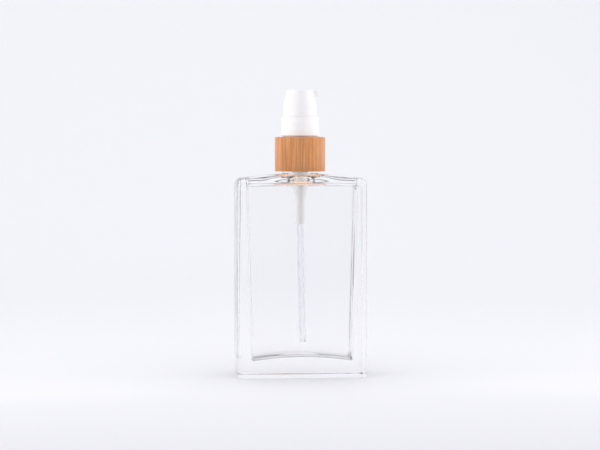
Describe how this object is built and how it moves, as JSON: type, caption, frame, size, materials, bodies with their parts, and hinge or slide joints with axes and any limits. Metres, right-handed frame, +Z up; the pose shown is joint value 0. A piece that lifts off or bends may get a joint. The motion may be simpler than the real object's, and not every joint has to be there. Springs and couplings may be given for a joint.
{
  "type": "foundation bottle",
  "caption": "Clear rectangular glass bottle with a bamboo-sleeved screw closure and a press-down treatment pump with dip tube.",
  "frame": {"origin": "middle of the base, at the height of the surface that the bottle stands on", "axes": "+Z up along the neck and pump, +X along the spout and the bottle's width, Y through its depth"},
  "size_m": [0.0614, 0.033, 0.1361],
  "materials": {
    "clear_glass": "polished, moulded",
    "bamboo": "turned and sealed",
    "white_polypropylene": "satin moulded",
    "natural_polypropylene": "moulded, undyed",
    "natural_polyethylene": "extruded, translucent",
    "foamed_polyethylene": "die cut sheet",
    "nitrile_rubber": "moulded",
    "stainless_steel": "drawn and polished"
  },
  "bodies": {
    "bottle": {"glass_bottle": "clear_glass"},
    "pump_body": {"pump_housing": "white_polypropylene", "neck_gasket": "foamed_polyethylene", "pump_shroud": "white_polypropylene", "retaining_ring": "natural_polypropylene", "stem_seal": "nitrile_rubber", "return_spring": "stainless_steel", "dip_tube": "natural_polyethylene"},
    "closure": {"screw_closure": "white_polypropylene", "bamboo_collar": "bamboo"},
    "plunger": {"pump_stem": "natural_polypropylene", "piston_rod": "natural_polypropylene"},
    "actuator_head": {"actuator": "white_polypropylene"},
    "piston_cup": {"piston": "natural_polyethylene"},
    "inlet_ball": {"check_ball": "stainless_steel"}
  },
  "joints": [
    {"name": "pump_rise", "type": "slide", "parent": "bottle", "child": "pump_body", "axis": [0, 0, 1], "range_m": [0, 0.00476]},
    {"name": "closure_turn", "type": "hinge", "parent": "pump_body", "child": "closure", "pos_m": [0, 0, 0.105], "axis": [0, 0, 1], "range_deg": [0, 540]},
    {"name": "actuator_press", "type": "slide", "parent": "pump_body", "child": "plunger", "axis": [0, 0, -1], "range_m": [0, 0.005], "stiffness_N_per_m": 1000, "springref_m": -0.006, "deforming": ["return_spring"]},
    {"name": "actuator_turn", "type": "hinge", "parent": "plunger", "child": "actuator_head", "pos_m": [0, 0, 0.125], "axis": [0, 0, 1], "continuous": true},
    {"name": "piston_shift", "type": "slide", "parent": "plunger", "child": "piston_cup", "axis": [0, 0, 1], "range_m": [0, 0.0008]},
    {"name": "ball_lift", "type": "slide", "parent": "pump_body", "child": "inlet_ball", "axis": [0, 0, 1], "range_m": [0, 0.0012]}
  ],
  "couplings": [
    {"joint": "closure_turn", "follows": "pump_rise", "rad_per_m": 1979}
  ]
}
